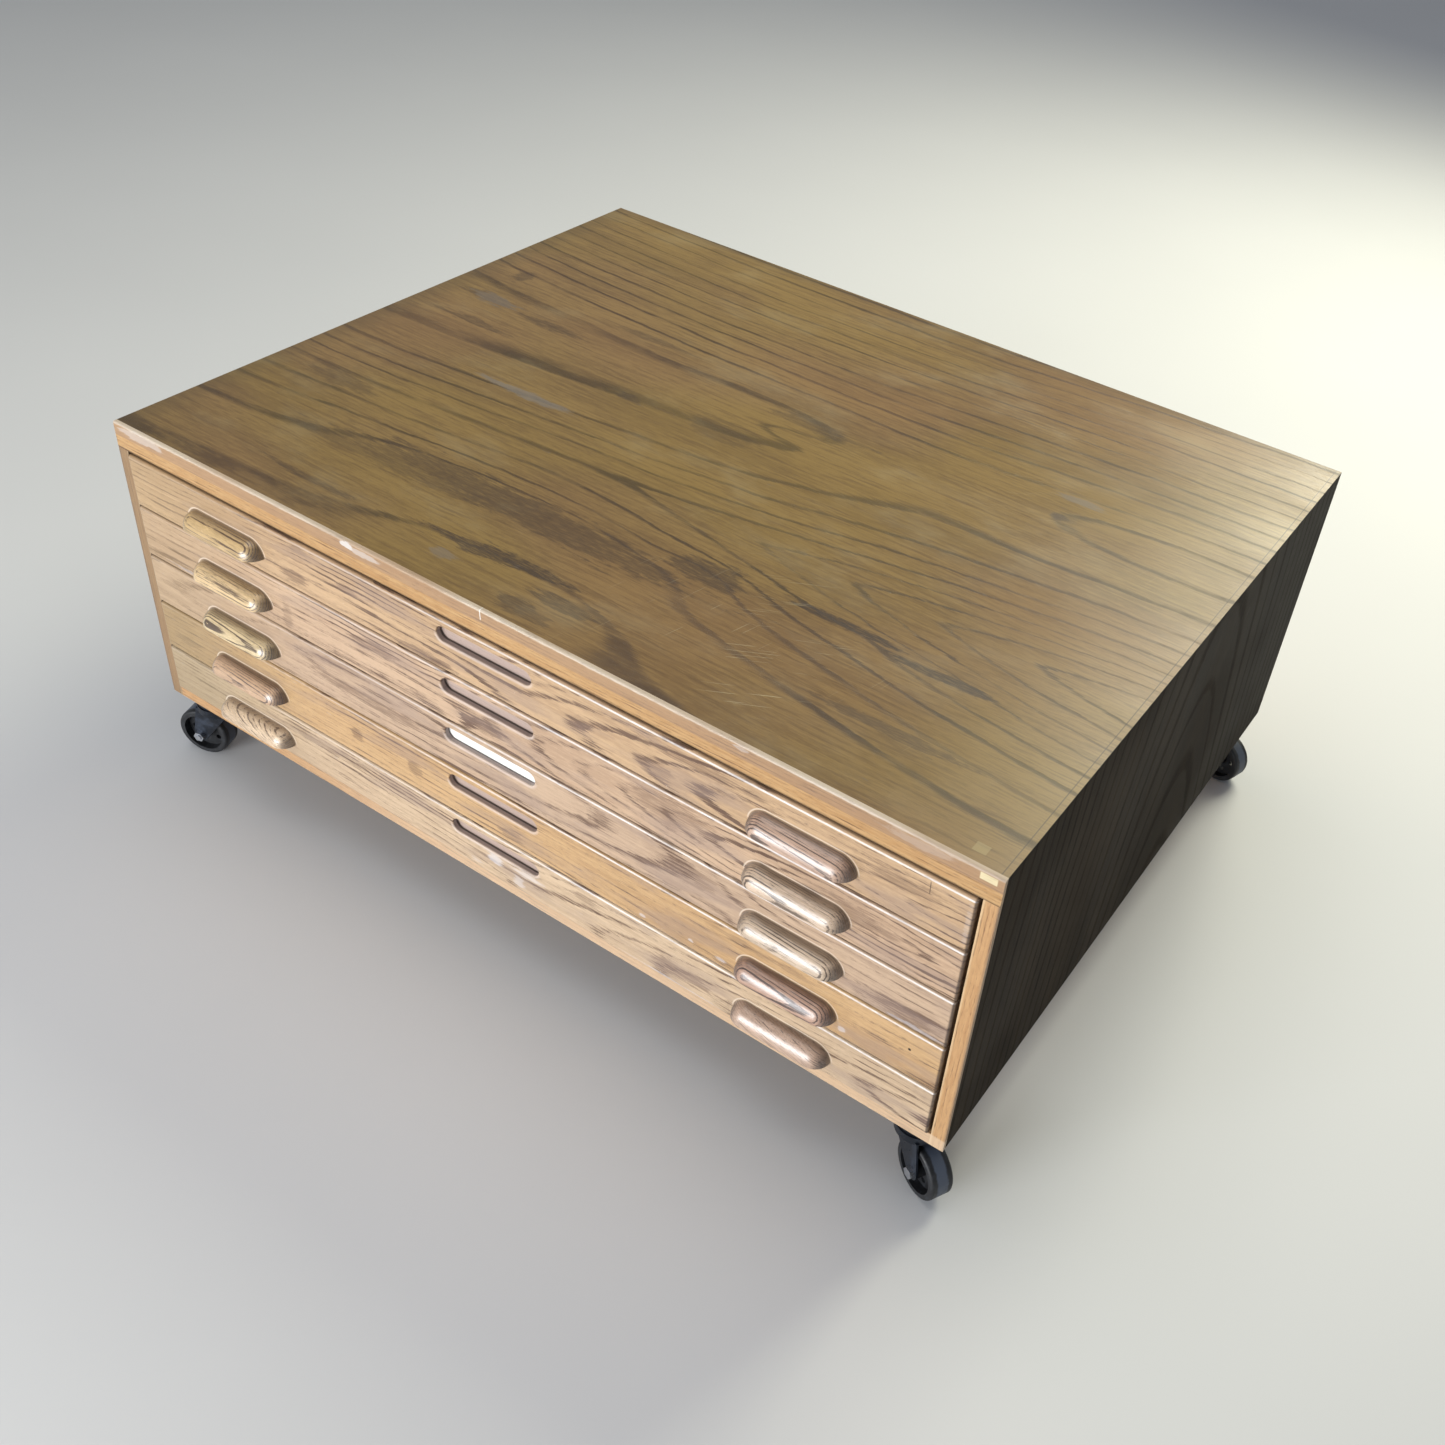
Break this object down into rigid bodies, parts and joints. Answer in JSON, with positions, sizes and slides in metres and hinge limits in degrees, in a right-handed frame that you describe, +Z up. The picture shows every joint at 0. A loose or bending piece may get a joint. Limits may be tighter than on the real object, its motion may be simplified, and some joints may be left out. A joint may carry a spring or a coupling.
{
  "type": "flat file cabinet",
  "caption": "Low wooden flat file cabinet with wide shallow drawers, label windows, round-ended wooden pulls and swivel casters.",
  "frame": {"origin": "on the floor, under the middle of the whole cabinet's bounding box", "axes": "+X to the right as seen from the front, +Y to the back, +Z up; the drawers open towards -Y"},
  "size_m": [1.3816, 1.073, 0.575],
  "materials": {
    "oak_veneer": "satin oak veneer, olive brown, with the grain across the width, grey rubbed patches, scratches and faded spots",
    "dark_veneer": "dark brown stained veneer, satin, with fine scratches",
    "oak_edge": "solid oak edge bands, worn pale along the corners",
    "orange_rail": "orange brown rail with fine dark lines along it",
    "oak_front": "pale oak drawer fronts, plain sawn, brown and grey streaks, satin",
    "pull_wood": "stained oak pulls, satin, some redder than others",
    "drawer_box": "plain unfinished drawer sides, backs and inner boards",
    "tray_board": "thin hardboard, smooth brown",
    "plywood": "plain unfinished plywood panels",
    "card": "white paper card with a few specks",
    "black_paint": "semi gloss slate black paint on pressed steel, edges rubbed bright",
    "zinc": "bright zinc plated steel",
    "steel_screw": "plain steel screws",
    "wheel_rubber": "black hard rubber, a blue grey worn band round the tread"
  },
  "bodies": {
    "cabinet": {"top_panel": "oak_veneer", "left_side_panel": "dark_veneer", "right_side_panel": "dark_veneer", "bottom_panel": "plywood", "back_panel": "plywood", "top_front_rail": "orange_rail", "front_edge_bands": "oak_edge", "drawer_runners": "drawer_box", "runner_screws": "steel_screw", "caster_plates": "black_paint", "caster_kingpins": "zinc", "caster_bolts": "zinc"},
    "drawer_1": {"drawer_1_front": "oak_front", "drawer_1_box_front": "drawer_box", "drawer_1_left_side": "drawer_box", "drawer_1_right_side": "drawer_box", "drawer_1_back": "drawer_box", "drawer_1_bottom": "tray_board", "drawer_1_pulls": "pull_wood"},
    "drawer_2": {"drawer_2_front": "oak_front", "drawer_2_box_front": "drawer_box", "drawer_2_left_side": "drawer_box", "drawer_2_right_side": "drawer_box", "drawer_2_back": "drawer_box", "drawer_2_bottom": "tray_board", "drawer_2_pulls": "pull_wood"},
    "drawer_3": {"drawer_3_front": "oak_front", "drawer_3_box_front": "drawer_box", "drawer_3_left_side": "drawer_box", "drawer_3_right_side": "drawer_box", "drawer_3_back": "drawer_box", "drawer_3_bottom": "tray_board", "drawer_3_pulls": "pull_wood", "drawer_3_label_card": "card"},
    "drawer_4": {"drawer_4_front": "oak_front", "drawer_4_box_front": "drawer_box", "drawer_4_left_side": "drawer_box", "drawer_4_right_side": "drawer_box", "drawer_4_back": "drawer_box", "drawer_4_bottom": "tray_board", "drawer_4_pulls": "pull_wood"},
    "drawer_5": {"drawer_5_front": "oak_front", "drawer_5_box_front": "drawer_box", "drawer_5_left_side": "drawer_box", "drawer_5_right_side": "drawer_box", "drawer_5_back": "drawer_box", "drawer_5_bottom": "tray_board", "drawer_5_pulls": "pull_wood"},
    "front_left_caster_swivel": {"front_left_caster_fork": "black_paint", "front_left_caster_axle": "zinc"},
    "front_left_caster_roller": {"front_left_caster_wheel": "wheel_rubber"},
    "front_right_caster_swivel": {"front_right_caster_fork": "black_paint", "front_right_caster_axle": "zinc"},
    "front_right_caster_roller": {"front_right_caster_wheel": "wheel_rubber"},
    "rear_left_caster_swivel": {"rear_left_caster_fork": "black_paint", "rear_left_caster_axle": "zinc"},
    "rear_left_caster_roller": {"rear_left_caster_wheel": "wheel_rubber"},
    "rear_right_caster_swivel": {"rear_right_caster_fork": "black_paint", "rear_right_caster_axle": "zinc"},
    "rear_right_caster_roller": {"rear_right_caster_wheel": "wheel_rubber"}
  },
  "joints": [
    {"name": "drawer_1_slide", "type": "slide", "parent": "cabinet", "child": "drawer_1", "axis": [0, -1, 0], "range_m": [0, 0.7]},
    {"name": "drawer_2_slide", "type": "slide", "parent": "cabinet", "child": "drawer_2", "axis": [0, -1, 0], "range_m": [0, 0.7]},
    {"name": "drawer_3_slide", "type": "slide", "parent": "cabinet", "child": "drawer_3", "axis": [0, -1, 0], "range_m": [0, 0.7]},
    {"name": "drawer_4_slide", "type": "slide", "parent": "cabinet", "child": "drawer_4", "axis": [0, -1, 0], "range_m": [0, 0.7]},
    {"name": "drawer_5_slide", "type": "slide", "parent": "cabinet", "child": "drawer_5", "axis": [0, -1, 0], "range_m": [0, 0.7]},
    {"name": "front_left_swivel", "type": "hinge", "parent": "cabinet", "child": "front_left_caster_swivel", "pos_m": [-0.623, -0.4725, 0.098], "axis": [0, 0, 1], "continuous": true},
    {"name": "front_left_roll", "type": "hinge", "parent": "front_left_caster_swivel", "child": "front_left_caster_roller", "pos_m": [-0.64882, -0.48039, 0.04], "axis": [0.2924, -0.9563, 0], "continuous": true},
    {"name": "front_right_swivel", "type": "hinge", "parent": "cabinet", "child": "front_right_caster_swivel", "pos_m": [0.623, -0.4725, 0.098], "axis": [0, 0, 1], "continuous": true},
    {"name": "front_right_roll", "type": "hinge", "parent": "front_right_caster_swivel", "child": "front_right_caster_roller", "pos_m": [0.64706, -0.48476, 0.04], "axis": [0.454, 0.891, 0], "continuous": true},
    {"name": "rear_left_swivel", "type": "hinge", "parent": "cabinet", "child": "rear_left_caster_swivel", "pos_m": [-0.623, 0.5005, 0.098], "axis": [0, 0, 1], "continuous": true},
    {"name": "rear_left_roll", "type": "hinge", "parent": "rear_left_caster_swivel", "child": "rear_left_caster_roller", "pos_m": [-0.64882, 0.49261, 0.04], "axis": [0.2924, -0.9563, 0], "continuous": true},
    {"name": "rear_right_swivel", "type": "hinge", "parent": "cabinet", "child": "rear_right_caster_swivel", "pos_m": [0.623, 0.5005, 0.098], "axis": [0, 0, 1], "continuous": true},
    {"name": "rear_right_roll", "type": "hinge", "parent": "rear_right_caster_swivel", "child": "rear_right_caster_roller", "pos_m": [0.64882, 0.49261, 0.04], "axis": [0.2924, 0.9563, 0], "continuous": true}
  ]
}
